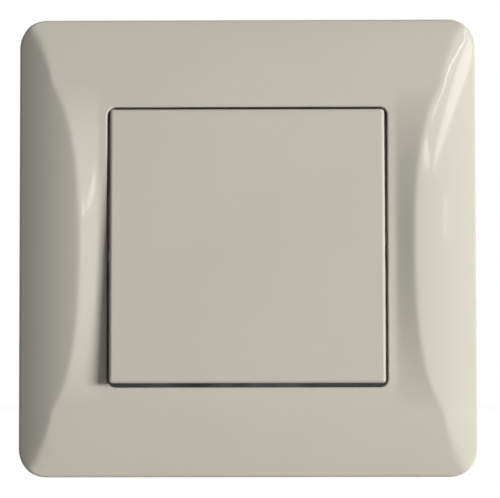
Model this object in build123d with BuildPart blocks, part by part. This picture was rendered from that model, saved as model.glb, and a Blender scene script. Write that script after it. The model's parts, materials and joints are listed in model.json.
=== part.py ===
from build123d import *
import os
from math import asin, cos, degrees, radians, sin, sqrt, tan

os.makedirs("parts", exist_ok=True)

# A flush wall light switch: a square cover frame with two bowed side wings, one flat rocker,
# and behind them the support plate, the snap mechanism, two wire terminals and two box claws.
# Millimetres. +Z is up, the wall is the plane y = 0 and the front faces -Y.
# Every height is measured from the wall towards the room, so depths inside the wall box are negative.

# The wall box: its two screws set the widths of everything else
box_screw_pitch = 60.0
box_slot_width = 3.6
box_slot_length = 5.4
box_slot_margin = 0.3
box_slot_gap = 1.1

# Rocker cap, the gap around it and how far it stands out of the frame
cap_gap = 0.5
cap_edge_round = 0.6
cap_depth = 5.0
cap_wall = 1.6
cap_top = 1.9
cap_proud = 1.4
rocker_tilt = 3.0

# Cover frame
frame_overhang = 4.5
frame_corner = 5.0
frame_wall = 1.8
frame_edge_round = 0.5
wing_rise = 1.57
wing_run = 16.0
wing_radius = 31.0
band_run = 11.0
band_radius = 43.0
bank_margin = 1.5
bank_length = 56.0
bank_angle = 20.0
form_overlap = 1.0
opening_corner = 1.5
opening_bevel = 0.3
collar_wall = 1.5
collar_gap = 0.65

# Support plate
plate_corner = 6.0
plate_thick = 1.0
plate_raise = 2.0
plate_rim = 2.5
plate_ledge = 1.5

# Hooks that hold the frame on the support plate
hook_spacing = 34.0
hook_inset = 3.5
hook_width = 5.0
hook_thick = 1.6
hook_bite = 0.7
hook_hold = 0.4
hook_end_height = 0.5
hook_gap = 0.1
hook_flex_room = 0.7
hook_side_room = 0.4

# Mechanism cover with the two bearing posts
cover_thick = 1.6
cover_corner = 0.5
cover_edge = 0.2
cover_clip_gap = 0.5
post_thick = 2.4
post_width = 7.0
post_lip = 0.7
post_gap = 0.3
post_top_gap = 0.4
post_side_gap = 1.6
post_inset = 0.7
bearing_slack = 0.05
bearing_mouth = 2.2

# Rocker cradle, its trunnions and its tube
cradle_height = 30.0
cradle_gap = 0.3
trunnion_radius = 1.4
trunnion_end_gap = 0.1
tube_radius = 4.0
tube_side_gap = 1.2

# Clips that hold the cap on the cradle
clip_width = 5.0
clip_thick = 1.2
clip_spacing = 21.0
clip_bite = 0.6
clip_gap = 0.1

# Plunger and spring
plunger_bore = 2.5
plunger_slack = 0.1
plunger_tip_radius = 1.5
plunger_tip_bevel = 0.9
plunger_guide = 4.0
plunger_show = 4.0
plunger_contact_gap = 0.15
spring_seat = 1.0
spring_length = 5.0
spring_wire = 0.5
spring_wire_sides = 4
spring_turns = 4
spring_slack = 0.15

# Screws that clamp the cover, the plate and the base together
body_screw_inset = 3.5
body_screw_radius = 1.1
body_screw_head = 2.1
body_screw_length = 9.0
body_screw_slack = 0.05
body_screw_head_height = 0.9
body_screw_sink = 0.1
boss_radius = 2.2
boss_gap = 0.5

# Mechanism base in the wall box
base_height = 42.0
base_chamfer = 5.0
base_depth = 22.0
base_wall = 1.6
base_floor = 2.0

# Rocking contact on its saddle
saddle_rise = 2.05
saddle_radius = 0.4
saddle_half_length = 2.2
saddle_foot = 1.2
contact_slack = 0.05
contact_tilt = 8.0
contact_width = 5.0
contact_thick = 0.8
contact_lower_arm = 7.0
contact_upper_arm = 13.0
contact_touch_gap = 0.1
ear_thick = 0.8
ear_width = 3.2
ear_depth = 1.6
rivet_arm = 11.0
rivet_radius = 1.5
rivet_head = 0.9
rivet_bevel = 0.7
rivet_shank = 0.8
rivet_slack = 0.02

# Brass strips and the two terminals
strip_thick = 1.0
strip_width = 5.0
strip_shelf = 6.0
shelf_margin = 0.5
terminal_inset = 8.0
pillar_wall = 1.6
pillar_height = 8.0
pillar_roof = 1.5
wire_radius = 1.7
wire_depth = 7.5
wire_funnel = 0.5
terminal_screw_radius = 1.5
terminal_screw_slack = 0.05
terminal_screw_head = 2.4
terminal_head_height = 1.8
terminal_head_gap = 0.1
terminal_travel = 1.9
terminal_tip_gap = 0.3
driver_slack = 0.4

# Box claws with their screws and nuts
claw_hinge_inset = 1.1
claw_hinge_depth = 11.0
claw_thick = 1.2
claw_width = 9.0
claw_tongue_width = 6.8
claw_overreach = 4.9
claw_drop = 9.5
claw_swing = 20.0
claw_bend = 1.4
claw_tooth_depth = 3.0
claw_slot_slack = 0.2
claw_seat_gap = 0.15
claw_shoulder_gap = 0.5
claw_screw_gap = 1.0
claw_screw_radius = 1.5
claw_screw_slack = 0.2
claw_screw_head = 2.6
claw_head_height = 1.6
claw_head_gap = 0.05
claw_screw_show = 2.45
nut_width = 4.4
nut_height = 6.5
nut_thick = 2.9
nut_crown = 2.4
nut_gap = 0.05
nut_slack = 0.05
driver_slot_width = 0.8
driver_slot_depth = 0.8

# How near an edge must lie to a height to count as lying on it
touch = 0.01

# Heights, from the wall plate up to the rocker's face
plate_front = plate_raise + plate_thick
cover_front = plate_front + cover_thick
pivot_height = cover_front + trunnion_radius
post_height = 2 * trunnion_radius + post_lip
cap_underside = cover_front + post_height + post_top_gap
cap_front_height = cap_underside + cap_top
cap_back = cap_front_height - cap_depth
cradle_bottom = cover_front + cradle_height / 2 * sin(radians(rocker_tilt)) + cradle_gap
cradle_thick = cap_underside - cradle_bottom
collar_height = plate_front + claw_head_gap + claw_head_height + collar_gap
frame_flat_height = cap_front_height - cap_proud
wing_top = frame_flat_height + wing_rise

# Heights inside the box, from its floor up to the plunger
base_back = plate_raise - base_depth - base_floor
base_inside = base_back + base_floor
common_strip_front = base_inside + strip_shelf + strip_thick
saddle_height = common_strip_front + saddle_rise
contact_back = saddle_height + saddle_radius + contact_slack
contact_front = contact_back + contact_thick
plunger_tip = contact_front + plunger_contact_gap
tube_end = plunger_tip + plunger_show
spring_front = pivot_height - spring_seat
spring_back = spring_front - spring_length
closed_edge = rivet_arm + rivet_radius - rivet_bevel
closed_drop = closed_edge * sin(radians(contact_tilt))
closed_face = saddle_height - closed_drop - (rivet_head - saddle_radius - contact_slack)
switched_strip_front = closed_face - contact_touch_gap - rivet_head

# Widths: inwards from the box screws to the rocker, then outwards to the frame
claw_screw_x = (box_screw_pitch - box_slot_length) / 2 - box_slot_gap - claw_screw_slack - claw_screw_radius
base_width = 2 * (claw_screw_x - claw_screw_radius - claw_screw_gap)
post_outer = base_width / 2 - post_inset
cap_size = 2 * (post_outer + post_side_gap + cap_wall)
cradle_half = post_outer - post_thick - post_gap
trunnion_length = post_gap + post_thick - trunnion_end_gap
cover_width = 2 * (post_outer + cover_edge)
cover_height = cradle_height + 2 * (clip_gap - clip_bite - cover_clip_gap)
body_screw_x = base_width / 2 - body_screw_inset
body_screw_z = cover_height / 2 - body_screw_inset
body_screw_places = ((-body_screw_x, body_screw_z), (body_screw_x, -body_screw_z))
plate_window_width = 2 * (body_screw_x - body_screw_head) - 2 * plate_ledge
plate_window_height = cover_height - 2 * plate_ledge
raised_size = box_screw_pitch + box_slot_length + 2 * (box_slot_margin + plate_thick)
plate_size = raised_size + 2 * plate_rim
frame_size = plate_size + 2 * frame_overhang
frame_half = frame_size / 2
hook_offset = raised_size / 2 - plate_thick - hook_inset
opening_size = cap_size + 2 * cap_gap
pillar_width = 2 * (wire_radius + pillar_wall)
pillar_depth = wire_depth + pillar_roof
pillar_mid = base_inside + pillar_depth / 2
pillar_x = body_screw_x - boss_radius - boss_gap - pillar_width / 2
pillar_z = base_height / 2 - terminal_inset
pillar_inner_x = pillar_x - pillar_width / 2
pillar_inner_z = pillar_z - pillar_height / 2
pillar_outer_z = pillar_z + pillar_height / 2
strip_elbow = pillar_x + strip_width / 2
claw_hinge_x = base_width / 2 - claw_hinge_inset
claw_hinge_height = plate_raise - claw_hinge_depth
claw_reach = claw_screw_x + claw_overreach
nut_top = claw_hinge_height - claw_thick / 2 - nut_gap


def front(height):
    """The plane parallel to the wall at this height, seen from the room."""
    return Plane.XZ.offset(height)


def rocker_front(height):
    """The same for the rocker's own pieces, tilted about the pivot with the top pressed in."""
    return Plane.XZ.offset(pivot_height).rotated((-rocker_tilt, 0, 0)).offset(height - pivot_height)


def contact_front_plane(height):
    """The same for the rocking contact, tilted about the saddle with its upper arm lifted off."""
    return Plane.XZ.offset(saddle_height).rotated((contact_tilt, 0, 0)).offset(height - saddle_height)


def arch():
    """The arched cross-section of the two wings, pulled along the height."""
    with BuildPart() as arched:
        with BuildSketch(Plane.XY.offset(-frame_half - form_overlap)):
            with BuildLine():
                turn = degrees(asin((wing_run + form_overlap) / wing_radius))
                crown = JernArc((frame_half - wing_run, -wing_top), (1, 0), wing_radius, turn)
                Polyline(crown @ 1, ((crown @ 1).X, 0), (0, 0), (0, -wing_top), crown @ 0)
            make_face()
        extrude(amount=frame_size + 2 * form_overlap)
        mirror(about=Plane.YZ)
    return arched.part


def banks():
    """The flat front that rolls off above and below, with a round bank up to each wing."""
    reach = frame_half + form_overlap
    foot_x = opening_size / 2 + bank_margin
    bank_rise = (reach - foot_x) * tan(radians(bank_angle))
    with BuildPart() as banked:
        with BuildSketch(Plane((-reach, 0, 0), (0, 1, 0), (1, 0, 0))):
            with BuildLine():
                turn = degrees(asin((band_run + form_overlap) / band_radius))
                roll = JernArc((-frame_flat_height, frame_half - band_run), (0, 1), band_radius, -turn)
                Polyline(roll @ 1, (0, (roll @ 1).Y), (0, 0), (-frame_flat_height, 0), roll @ 0)
            make_face()
        extrude(amount=2 * reach)
        mirror(about=Plane.XY)
        # Each bank is straight along its foot and bowed far out, so it fades towards both ends
        with BuildSketch(Plane((foot_x, 0, 0), (0, 1, 0), (1, 0, 0))) as foot:
            with Locations((-frame_flat_height / 2, 0)):
                Rectangle(frame_flat_height, bank_length)
        with BuildSketch(Plane((reach, 0, 0), (0, 1, 0), (1, 0, 0))) as bow:
            with BuildLine():
                Polyline(
                    (-frame_flat_height, bank_length / 2),
                    (0, bank_length / 2),
                    (0, -bank_length / 2),
                    (-frame_flat_height, -bank_length / 2),
                )
                ThreePointArc(
                    (-frame_flat_height, -bank_length / 2),
                    (-frame_flat_height - bank_rise, 0),
                    (-frame_flat_height, bank_length / 2),
                )
            make_face()
        loft([foot.sketch, bow.sketch], ruled=True)
        mirror(about=Plane.YZ)
    return banked.part


# Cover frame: one moulded shell with a collar round the opening and four hooks behind
frame_arch = arch()
frame_banks = banks()
with BuildPart() as cover_frame:
    with BuildSketch(front(0)):
        RectangleRounded(frame_size, frame_size, frame_corner)
    extrude(amount=wing_top)
    add(frame_arch, mode=Mode.INTERSECT)
    add(frame_banks, mode=Mode.INTERSECT)
    straight_edges = cover_frame.edges().filter_by(Axis.X) + cover_frame.edges().filter_by(Axis.Z)
    front_rim = straight_edges.filter_by(
        lambda edge: max(abs(edge.center().X), abs(edge.center().Z)) > frame_half - touch
        and edge.center().Y < -touch
    )
    fillet(front_rim, radius=frame_edge_round)
    # Hollow behind the rim, and deeper behind the flat front
    hollow = frame_size - 2 * frame_wall
    rim_height = wing_top - wing_radius + sqrt(wing_radius**2 - wing_run**2)
    deep_width = 2 * (frame_half - wing_run + sqrt(wing_radius**2 - (wing_radius - wing_rise) ** 2))
    with BuildSketch(front(0)) as hollow_outline:
        Rectangle(hollow, hollow)
        chamfer(hollow_outline.vertices(), frame_corner - frame_wall)
    extrude(amount=rim_height - frame_wall / 2, mode=Mode.SUBTRACT)
    with BuildSketch(front(0)):
        Rectangle(deep_width, frame_size - band_run)
    extrude(amount=frame_flat_height - frame_wall, mode=Mode.SUBTRACT)
    with BuildSketch(front(collar_height)):
        RectangleRounded(
            opening_size + 2 * collar_wall, opening_size + 2 * collar_wall, opening_corner + collar_wall
        )
    extrude(amount=frame_flat_height - frame_wall / 2 - collar_height)
    with BuildSketch(front(0)):
        RectangleRounded(opening_size, opening_size, opening_corner)
    extrude(amount=wing_top, mode=Mode.SUBTRACT)
    opening_rim = cover_frame.edges().filter_by_position(
        Axis.Y, -frame_flat_height - touch, -frame_flat_height + touch
    ).filter_by(lambda edge: max(abs(edge.center().X), abs(edge.center().Z)) < opening_size / 2 + touch)
    chamfer(opening_rim, length=opening_bevel)
    for side in (-1, 1):
        with BuildSketch(front(hook_end_height)):
            with Locations((0, side * hook_offset)):
                with GridLocations(hook_spacing, 0, 2, 1):
                    Rectangle(hook_width, hook_thick)
        extrude(amount=frame_flat_height - frame_wall / 2 - hook_end_height)
        with BuildSketch(front(hook_end_height)):
            with Locations((0, side * (hook_offset + hook_bite / 2))):
                with GridLocations(hook_spacing, 0, 2, 1):
                    Rectangle(hook_width, hook_thick + hook_bite)
        extrude(amount=plate_raise - hook_gap - hook_end_height)
    hook_tips = cover_frame.faces().filter_by_position(
        Axis.Y, -hook_end_height - touch, -hook_end_height + touch
    ).edges().filter_by(Axis.X)
    outer_tips = hook_tips.filter_by(lambda edge: abs(edge.center().Z) > hook_offset)
    chamfer(outer_tips, length=hook_bite)
cover_frame.part.label = "cover_frame"
export_step(cover_frame.part, "parts/cover_frame.step")


# Rocker cap: a shallow moulded tray with four spring clips
with BuildPart() as rocker_cap:
    with BuildSketch(rocker_front(cap_back)):
        Rectangle(cap_size, cap_size)
    extrude(amount=cap_depth)
    back_edges = rocker_cap.faces().sort_by(Axis.Y)[-1].edges()
    fillet(rocker_cap.edges() - back_edges, radius=cap_edge_round)
    with BuildSketch(rocker_front(cap_back)):
        Rectangle(cap_size - 2 * cap_wall, cap_size - 2 * cap_wall)
    extrude(amount=cap_depth - cap_top, mode=Mode.SUBTRACT)
    clip_inner = cradle_height / 2 + clip_gap
    clip_bottom = cradle_bottom - clip_gap / 2 - clip_bite
    for side in (-1, 1):
        with BuildSketch(rocker_front(clip_bottom)):
            with Locations((0, side * (clip_inner + clip_thick / 2))):
                with GridLocations(clip_spacing, 0, 2, 1):
                    Rectangle(clip_width, clip_thick)
        extrude(amount=cap_underside - clip_bottom)
        with BuildSketch(rocker_front(clip_bottom)):
            with Locations((0, side * (clip_inner + (clip_thick - clip_bite) / 2))):
                with GridLocations(clip_spacing, 0, 2, 1):
                    Rectangle(clip_width, clip_thick + clip_bite)
        extrude(amount=clip_bite)
    clip_plane = rocker_front(clip_bottom)
    clip_tips = rocker_cap.edges().filter_by(Axis.X).filter_by(
        lambda edge: abs(clip_plane.to_local_coords(edge.center()).Z) < touch
        and abs(clip_plane.to_local_coords(edge.center()).Y) < clip_inner
    )
    chamfer(clip_tips, length=clip_bite - clip_gap)
rocker_cap.part.label = "rocker_cap"
export_step(rocker_cap.part, "parts/rocker_cap.step")


# Rocker cradle: carries the cap, turns on two trunnions and guides the plunger in a tube
with BuildPart() as rocker_cradle:
    with BuildSketch(rocker_front(cradle_bottom)):
        Rectangle(2 * cradle_half, cradle_height)
    extrude(amount=cradle_thick)
    with BuildSketch(rocker_front(tube_end)):
        Circle(tube_radius)
    extrude(amount=cradle_bottom - tube_end)
    with BuildSketch(rocker_front(tube_end)):
        Circle(plunger_bore)
    extrude(amount=spring_front - tube_end, mode=Mode.SUBTRACT)
    with BuildSketch(Plane((cradle_half, -pivot_height, 0), z_dir=(1, 0, 0))):
        Circle(trunnion_radius)
    extrude(amount=trunnion_length)
    with BuildSketch(Plane((-cradle_half, -pivot_height, 0), z_dir=(-1, 0, 0))):
        Circle(trunnion_radius)
    extrude(amount=trunnion_length)
rocker_cradle.part.label = "rocker_cradle"
export_step(rocker_cradle.part, "parts/rocker_cradle.step")


# Plunger: slides in the tube and presses on the rocking contact
with BuildPart() as plunger:
    with BuildSketch(rocker_front(spring_back - plunger_guide)):
        Circle(plunger_bore - plunger_slack)
    extrude(amount=plunger_guide)
    with BuildSketch(rocker_front(plunger_tip)):
        Circle(plunger_tip_radius)
    extrude(amount=spring_back - plunger_guide - plunger_tip)
    chamfer(plunger.faces().sort_by(Axis.Y)[-1].edges(), length=plunger_tip_bevel)
plunger.part.label = "plunger"
export_step(plunger.part, "parts/plunger.step")


# Plunger spring: a helix of round wire between the tube's end and the plunger
with BuildPart() as plunger_spring:
    spring_axis = rocker_front(spring_back + spring_wire / 2 + spring_slack)
    spring_radius = plunger_bore - spring_slack - spring_wire / 2
    spring_rise = spring_length - spring_wire - 2 * spring_slack
    with BuildLine():
        coil = Helix(
            spring_rise / spring_turns, spring_rise, spring_radius, spring_axis.origin, spring_axis.z_dir
        )
    with BuildSketch(Plane(coil @ 0, z_dir=coil % 0)):
        RegularPolygon(spring_wire / 2, spring_wire_sides)
    sweep()
plunger_spring.part.label = "plunger_spring"
export_step(plunger_spring.part, "parts/plunger_spring.step")


# Support plate: stamped steel, raised in the middle, with slots for the box screws
with BuildPart() as support_plate:
    with BuildSketch(front(0)):
        RectangleRounded(plate_size, plate_size, plate_corner)
    extrude(amount=plate_thick)
    with BuildSketch(front(0)):
        RectangleRounded(raised_size, raised_size, plate_corner - plate_thick)
    extrude(amount=plate_front)
    with BuildSketch(front(0)):
        RectangleRounded(
            raised_size - 2 * plate_thick, raised_size - 2 * plate_thick, plate_corner - 2 * plate_thick
        )
    extrude(amount=plate_raise, mode=Mode.SUBTRACT)
    with BuildSketch(front(plate_raise)):
        Rectangle(plate_window_width, plate_window_height)
        with Locations(*body_screw_places):
            Circle(body_screw_radius + body_screw_slack)
        with GridLocations(2 * claw_screw_x, 0, 2, 1):
            Circle(claw_screw_radius + claw_screw_slack)
        with GridLocations(box_screw_pitch, 0, 2, 1):
            SlotOverall(box_slot_length, box_slot_width)
        with GridLocations(0, box_screw_pitch, 1, 2):
            SlotOverall(box_slot_length, box_slot_width, rotation=90)
        for side in (-1, 1):
            hole_outer = hook_offset + hook_thick / 2 + hook_bite - hook_hold
            hole_inner = hook_offset - hook_thick / 2 - hook_flex_room
            with Locations((0, side * (hole_outer + hole_inner) / 2)):
                with GridLocations(hook_spacing, 0, 2, 1):
                    Rectangle(hook_width + 2 * hook_side_room, hole_outer - hole_inner)
    extrude(amount=plate_thick, mode=Mode.SUBTRACT)
support_plate.part.label = "support_plate"
export_step(support_plate.part, "parts/support_plate.step")


# Mechanism cover: lies on the plate and carries the two bearing posts
with BuildPart() as mechanism_cover:
    with BuildSketch(front(plate_front)):
        RectangleRounded(cover_width, cover_height, cover_corner)
    extrude(amount=cover_thick)
    with BuildSketch(front(cover_front)):
        with GridLocations(2 * post_outer - post_thick, 0, 2, 1):
            Rectangle(post_thick, post_width)
    extrude(amount=post_height)
    with BuildSketch(Plane((-cover_width, -pivot_height, 0), (0, 1, 0), (1, 0, 0))):
        Circle(trunnion_radius + bearing_slack)
        with Locations((-post_height / 2, 0)):
            Rectangle(post_height, bearing_mouth)
    extrude(amount=2 * cover_width, mode=Mode.SUBTRACT)
    with BuildSketch(front(plate_front)):
        Circle(tube_radius + tube_side_gap)
    extrude(amount=cover_thick, mode=Mode.SUBTRACT)
    with Locations(front(cover_front)):
        with Locations(*body_screw_places):
            CounterBoreHole(
                body_screw_radius + body_screw_slack,
                body_screw_head + body_screw_slack,
                body_screw_head_height + body_screw_sink,
            )
mechanism_cover.part.label = "mechanism_cover"
export_step(mechanism_cover.part, "parts/mechanism_cover.step")


# Mechanism base: the moulded box behind the plate
with BuildPart() as mechanism_base:
    with BuildSketch(front(base_back)) as base_outline:
        Rectangle(base_width, base_height)
        chamfer(base_outline.vertices(), base_chamfer)
    extrude(amount=plate_raise - base_back)
    with BuildSketch(front(base_inside)) as base_hollow:
        Rectangle(base_width - 2 * base_wall, base_height - 2 * base_wall)
        chamfer(base_hollow.vertices(), base_chamfer - base_wall * (2 - sqrt(2)))
    extrude(amount=plate_raise - base_inside, mode=Mode.SUBTRACT)
    with BuildSketch(front(base_inside)):
        with Locations(*body_screw_places):
            Circle(boss_radius)
    extrude(amount=plate_raise - base_inside)
    with Locations(front(plate_raise)):
        with Locations(*body_screw_places):
            Hole(body_screw_radius + body_screw_slack, body_screw_length - cover_thick)
    # Shelves under the two brass strips
    with BuildSketch(front(base_inside)):
        with Locations((-pillar_inner_x / 2 + saddle_half_length / 2, 0)):
            Rectangle(pillar_inner_x + saddle_half_length, strip_width + 2 * shelf_margin)
    extrude(amount=common_strip_front - strip_thick - base_inside)
    with BuildSketch(front(base_inside)):
        with Locations(((pillar_inner_x - contact_width / 2) / 2 - shelf_margin, rivet_arm)):
            Rectangle(pillar_inner_x + contact_width / 2, strip_width + 2 * shelf_margin)
    extrude(amount=switched_strip_front - strip_thick - base_inside)
    # Wire funnels in the floor and driver holes in the walls
    with BuildSketch(front(base_back)):
        with Locations((-pillar_x, -pillar_z), (pillar_x, pillar_z)):
            Circle(wire_radius + wire_funnel)
    extrude(amount=base_floor, mode=Mode.SUBTRACT)
    for sign in (-1, 1):
        wall_plane = Plane((sign * pillar_x, -pillar_mid, sign * base_height / 2), z_dir=(0, 0, -sign))
        with BuildSketch(wall_plane):
            Circle(terminal_screw_head + driver_slack)
        extrude(amount=base_wall, mode=Mode.SUBTRACT)
    # Slots in the side walls that hold the tongues of the claws
    slot_low = claw_hinge_height - claw_thick / 2 - claw_seat_gap
    claw_rise = (base_width / 2 - claw_hinge_x) * tan(radians(claw_swing))
    slot_high = claw_hinge_height + claw_thick / 2 / cos(radians(claw_swing)) + claw_rise + claw_seat_gap
    with BuildSketch(front(slot_low)):
        with GridLocations(base_width - base_wall, 0, 2, 1):
            Rectangle(base_wall, claw_tongue_width + 2 * claw_seat_gap)
    extrude(amount=slot_high - slot_low, mode=Mode.SUBTRACT)
mechanism_base.part.label = "mechanism_base"
export_step(mechanism_base.part, "parts/mechanism_base.step")


# Two cheese-head screws through cover, plate and base
with BuildPart() as body_screws:
    with BuildSketch(front(cover_front - body_screw_length)):
        with Locations(*body_screw_places):
            Circle(body_screw_radius)
    extrude(amount=body_screw_length - body_screw_sink)
    with BuildSketch(front(cover_front - body_screw_sink - body_screw_head_height)):
        with Locations(*body_screw_places):
            Circle(body_screw_head)
    extrude(amount=body_screw_head_height)
body_screws.part.label = "body_screws"
export_step(body_screws.part, "parts/body_screws.step")


# Rocking contact: a sprung strip with two ears that straddle the saddle
with BuildPart() as moving_contact:
    with BuildSketch(contact_front_plane(contact_back)):
        with Locations((0, (contact_upper_arm - contact_lower_arm) / 2)):
            Rectangle(contact_width, contact_upper_arm + contact_lower_arm)
        with Locations((0, rivet_arm)):
            Circle(rivet_shank + rivet_slack, mode=Mode.SUBTRACT)
    extrude(amount=contact_thick)
    with BuildSketch(contact_front_plane(contact_back - ear_depth)):
        with GridLocations(contact_width + ear_thick, 0, 2, 1):
            Rectangle(ear_thick, ear_width)
    extrude(amount=ear_depth + contact_thick)
moving_contact.part.label = "moving_contact"
export_step(moving_contact.part, "parts/moving_contact.step")


def contact_rivet(plane_at, seat, out, thick):
    """A silver contact rivet: a bevelled head on one side of a strip, riveted flush on the other."""
    with BuildPart() as rivet:
        with BuildSketch(plane_at(seat)):
            with Locations((0, rivet_arm)):
                Circle(rivet_radius)
        extrude(amount=out * rivet_head)
        head_edges = rivet.edges().filter_by(GeomType.CIRCLE).sort_by(Axis.Y)
        chamfer(head_edges[0] if out > 0 else head_edges[-1], length=rivet_bevel)
        with BuildSketch(plane_at(seat)):
            with Locations((0, rivet_arm)):
                Circle(rivet_shank)
        extrude(amount=-out * thick)
    return rivet.part


moving_rivet = contact_rivet(contact_front_plane, contact_back, -1, contact_thick)
moving_rivet.label = "moving_contact_rivet"
export_step(moving_rivet, "parts/moving_contact_rivet.step")


fixed_rivet = contact_rivet(front, switched_strip_front, 1, strip_thick)
fixed_rivet.label = "fixed_contact_rivet"
export_step(fixed_rivet, "parts/fixed_contact_rivet.step")


# Common strip: brass, from the saddle under the contact to the lower terminal
with BuildPart() as common_strip:
    with BuildSketch(front(common_strip_front - strip_thick)):
        with Locations(((saddle_half_length - strip_elbow) / 2, 0)):
            Rectangle(strip_elbow + saddle_half_length, strip_width)
        with Locations((-strip_elbow + strip_width / 2, (strip_width / 2 - pillar_inner_z) / 2)):
            Rectangle(strip_width, strip_width / 2 + pillar_inner_z)
    extrude(amount=strip_thick)
    with BuildSketch(Plane((-saddle_half_length, 0, 0), (0, 1, 0), (1, 0, 0))):
        with BuildLine():
            Polyline(
                (-saddle_height, saddle_radius),
                (-common_strip_front, saddle_foot),
                (-common_strip_front, -saddle_foot),
                (-saddle_height, -saddle_radius),
            )
            RadiusArc((-saddle_height, -saddle_radius), (-saddle_height, saddle_radius), saddle_radius)
        make_face()
    extrude(amount=2 * saddle_half_length)
common_strip.part.label = "common_strip"
export_step(common_strip.part, "parts/common_strip.step")


# Switched strip: brass, from the fixed contact to the upper terminal
with BuildPart() as switched_strip:
    with BuildSketch(front(switched_strip_front - strip_thick)):
        with Locations(((pillar_inner_x - contact_width / 2) / 2, rivet_arm)):
            Rectangle(pillar_inner_x + contact_width / 2, strip_width)
        with Locations((0, rivet_arm)):
            Circle(rivet_shank + rivet_slack, mode=Mode.SUBTRACT)
    extrude(amount=strip_thick)
switched_strip.part.label = "switched_strip"
export_step(switched_strip.part, "parts/switched_strip.step")


def terminal_pillar(sign):
    """A brass block with a wire hole from the back and a clamping screw hole from the outside."""
    with BuildPart() as pillar:
        with BuildSketch(front(base_inside)):
            with Locations((sign * pillar_x, sign * pillar_z)):
                Rectangle(pillar_width, pillar_height)
        extrude(amount=pillar_depth)
        with BuildSketch(front(base_inside)):
            with Locations((sign * pillar_x, sign * pillar_z)):
                Circle(wire_radius)
        extrude(amount=wire_depth, mode=Mode.SUBTRACT)
        mouth = Plane((sign * pillar_x, -pillar_mid, sign * pillar_outer_z), z_dir=(0, 0, -sign))
        with BuildSketch(mouth):
            Circle(terminal_screw_radius + terminal_screw_slack)
        extrude(amount=pillar_height / 2, mode=Mode.SUBTRACT)
    return pillar.part


def terminal_screw(sign):
    """A cheese-head screw, backed off so that its tip stands clear of the wire hole."""
    tip = pillar_z + wire_radius + terminal_tip_gap
    head_seat = pillar_outer_z + terminal_travel + terminal_head_gap
    with BuildPart() as screw:
        with BuildSketch(Plane((sign * pillar_x, -pillar_mid, sign * tip), z_dir=(0, 0, sign))):
            Circle(terminal_screw_radius)
        extrude(amount=head_seat - tip)
        with BuildSketch(Plane((sign * pillar_x, -pillar_mid, sign * head_seat), z_dir=(0, 0, sign))):
            Circle(terminal_screw_head)
        extrude(amount=terminal_head_height)
        head_top = head_seat + terminal_head_height
        with BuildSketch(Plane((sign * pillar_x, -pillar_mid, sign * head_top), z_dir=(0, 0, sign))):
            Rectangle(2 * terminal_screw_head, driver_slot_width)
        extrude(amount=-driver_slot_depth, mode=Mode.SUBTRACT)
    return screw.part


def claw(sign):
    """A bent steel claw: a tongue hinged in the base, a slotted flange and an arm with two teeth."""
    low = claw_hinge_height - claw_thick / 2
    high = claw_hinge_height + claw_thick / 2
    end = high - claw_drop
    with BuildPart() as bent:
        with BuildSketch(Plane.XY):
            with BuildLine():
                Polyline(
                    (sign * claw_hinge_x, -low),
                    (sign * (claw_reach - claw_thick), -low),
                    (sign * (claw_reach - claw_thick), -end),
                    (sign * claw_reach, -end),
                    (sign * claw_reach, -high),
                    (sign * claw_hinge_x, -high),
                )
                ThreePointArc(
                    (sign * claw_hinge_x, -high),
                    (sign * (claw_hinge_x - claw_thick / 2), -claw_hinge_height),
                    (sign * claw_hinge_x, -low),
                )
            make_face()
        extrude(amount=claw_width / 2, both=True)
        corner = bent.edges().filter_by(Axis.Z).sort_by_distance((sign * claw_reach, -high, 0))[0]
        fillet(corner, radius=claw_bend)
        # The tongue is narrower than the claw where it enters the base
        tongue_end = claw_hinge_x - claw_thick / 2
        shoulder_x = base_width / 2 + claw_shoulder_gap
        with BuildSketch(front(low)):
            with Locations((sign * (tongue_end + shoulder_x) / 2, 0)):
                with GridLocations(0, claw_tongue_width + claw_width, 1, 2):
                    Rectangle(shoulder_x - tongue_end, claw_width)
        extrude(amount=claw_thick, mode=Mode.SUBTRACT)
        # Slot that lets the flange swing past the screw
        lever = claw_screw_x - claw_hinge_x
        swing = radians(claw_swing)
        slot_near = lever - claw_screw_radius - claw_slot_slack
        slot_far = (lever + claw_screw_radius) / cos(swing) + claw_thick / 2 * tan(swing) + claw_slot_slack
        with BuildSketch(front(low)):
            with Locations((sign * (claw_hinge_x + (slot_near + slot_far) / 2), 0)):
                SlotOverall(slot_far - slot_near, 2 * (claw_screw_radius + claw_slot_slack))
        extrude(amount=claw_thick, mode=Mode.SUBTRACT)
        # Two pointed teeth at the end of the arm
        with BuildSketch(Plane((sign * (claw_reach - claw_thick), -end, 0), (0, 1, 0), (sign, 0, 0))):
            Polygon((0, -claw_width / 4), (0, claw_width / 4), (-claw_tooth_depth, 0), align=None)
        extrude(amount=claw_thick, mode=Mode.SUBTRACT)
    return bent.part


def claw_screw(sign):
    """A pan-head screw that turns in the plate and draws the nut towards it."""
    seat = plate_front + claw_head_gap
    with BuildPart() as screw:
        tip = nut_top - nut_thick - claw_screw_show
        with BuildSketch(front(tip)):
            with Locations((sign * claw_screw_x, 0)):
                Circle(claw_screw_radius)
        extrude(amount=seat - tip)
        with BuildSketch(front(seat)):
            with Locations((sign * claw_screw_x, 0)):
                Circle(claw_screw_head)
        extrude(amount=claw_head_height)
        with BuildSketch(front(seat + claw_head_height)):
            with Locations((sign * claw_screw_x, 0)):
                Rectangle(2 * claw_screw_head, driver_slot_width)
        extrude(amount=-driver_slot_depth, mode=Mode.SUBTRACT)
    return screw.part


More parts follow.
